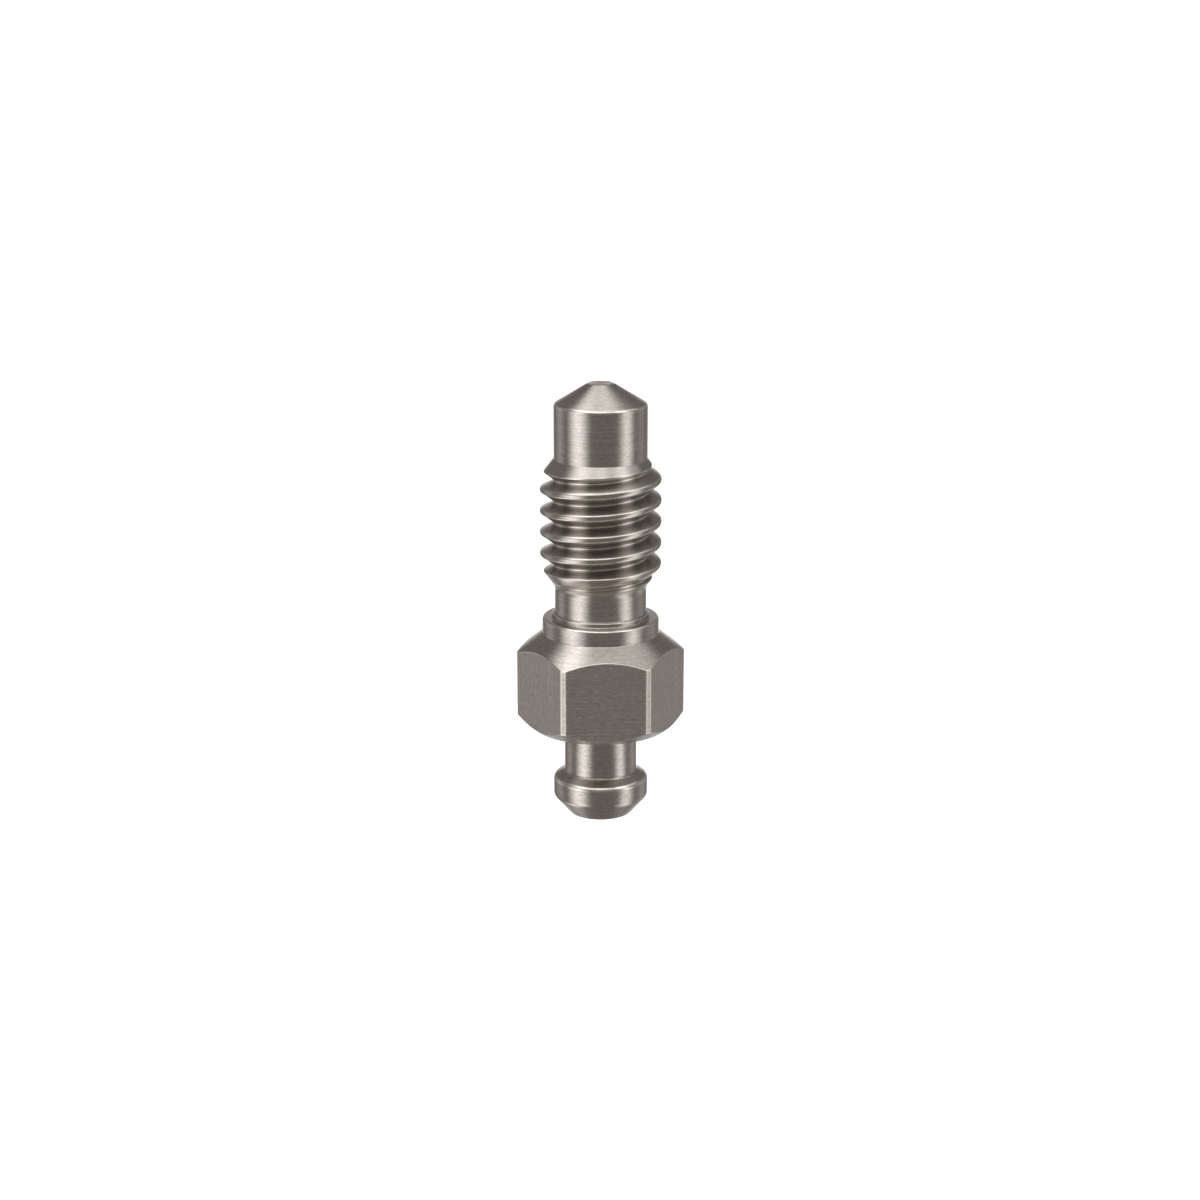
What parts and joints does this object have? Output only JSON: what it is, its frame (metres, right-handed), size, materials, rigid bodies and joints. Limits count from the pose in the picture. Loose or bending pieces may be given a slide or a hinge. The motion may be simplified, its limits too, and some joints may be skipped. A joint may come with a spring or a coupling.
{
  "type": "bleed nipple",
  "caption": "Hollow hexagon-headed bleed screw with a conical seat, plain shank, coarse thread, relief neck, collar and a barbed hose end.",
  "frame": {"origin": "centre of the flat hose end, which the nipple stands on", "axes": "+Z along the axis, from the hose end up to the conical seat; -Y square out of one flat of the hexagon; the cross hole opens towards +Y"},
  "size_m": [0.011, 0.0098, 0.029],
  "materials": {
    "stainless_steel": "bare stainless steel, turned and milled, with fine tool marks round the axis and satin flats"
  },
  "bodies": {
    "root": {"bleed_nipple": "stainless_steel"}
  },
  "joints": []
}
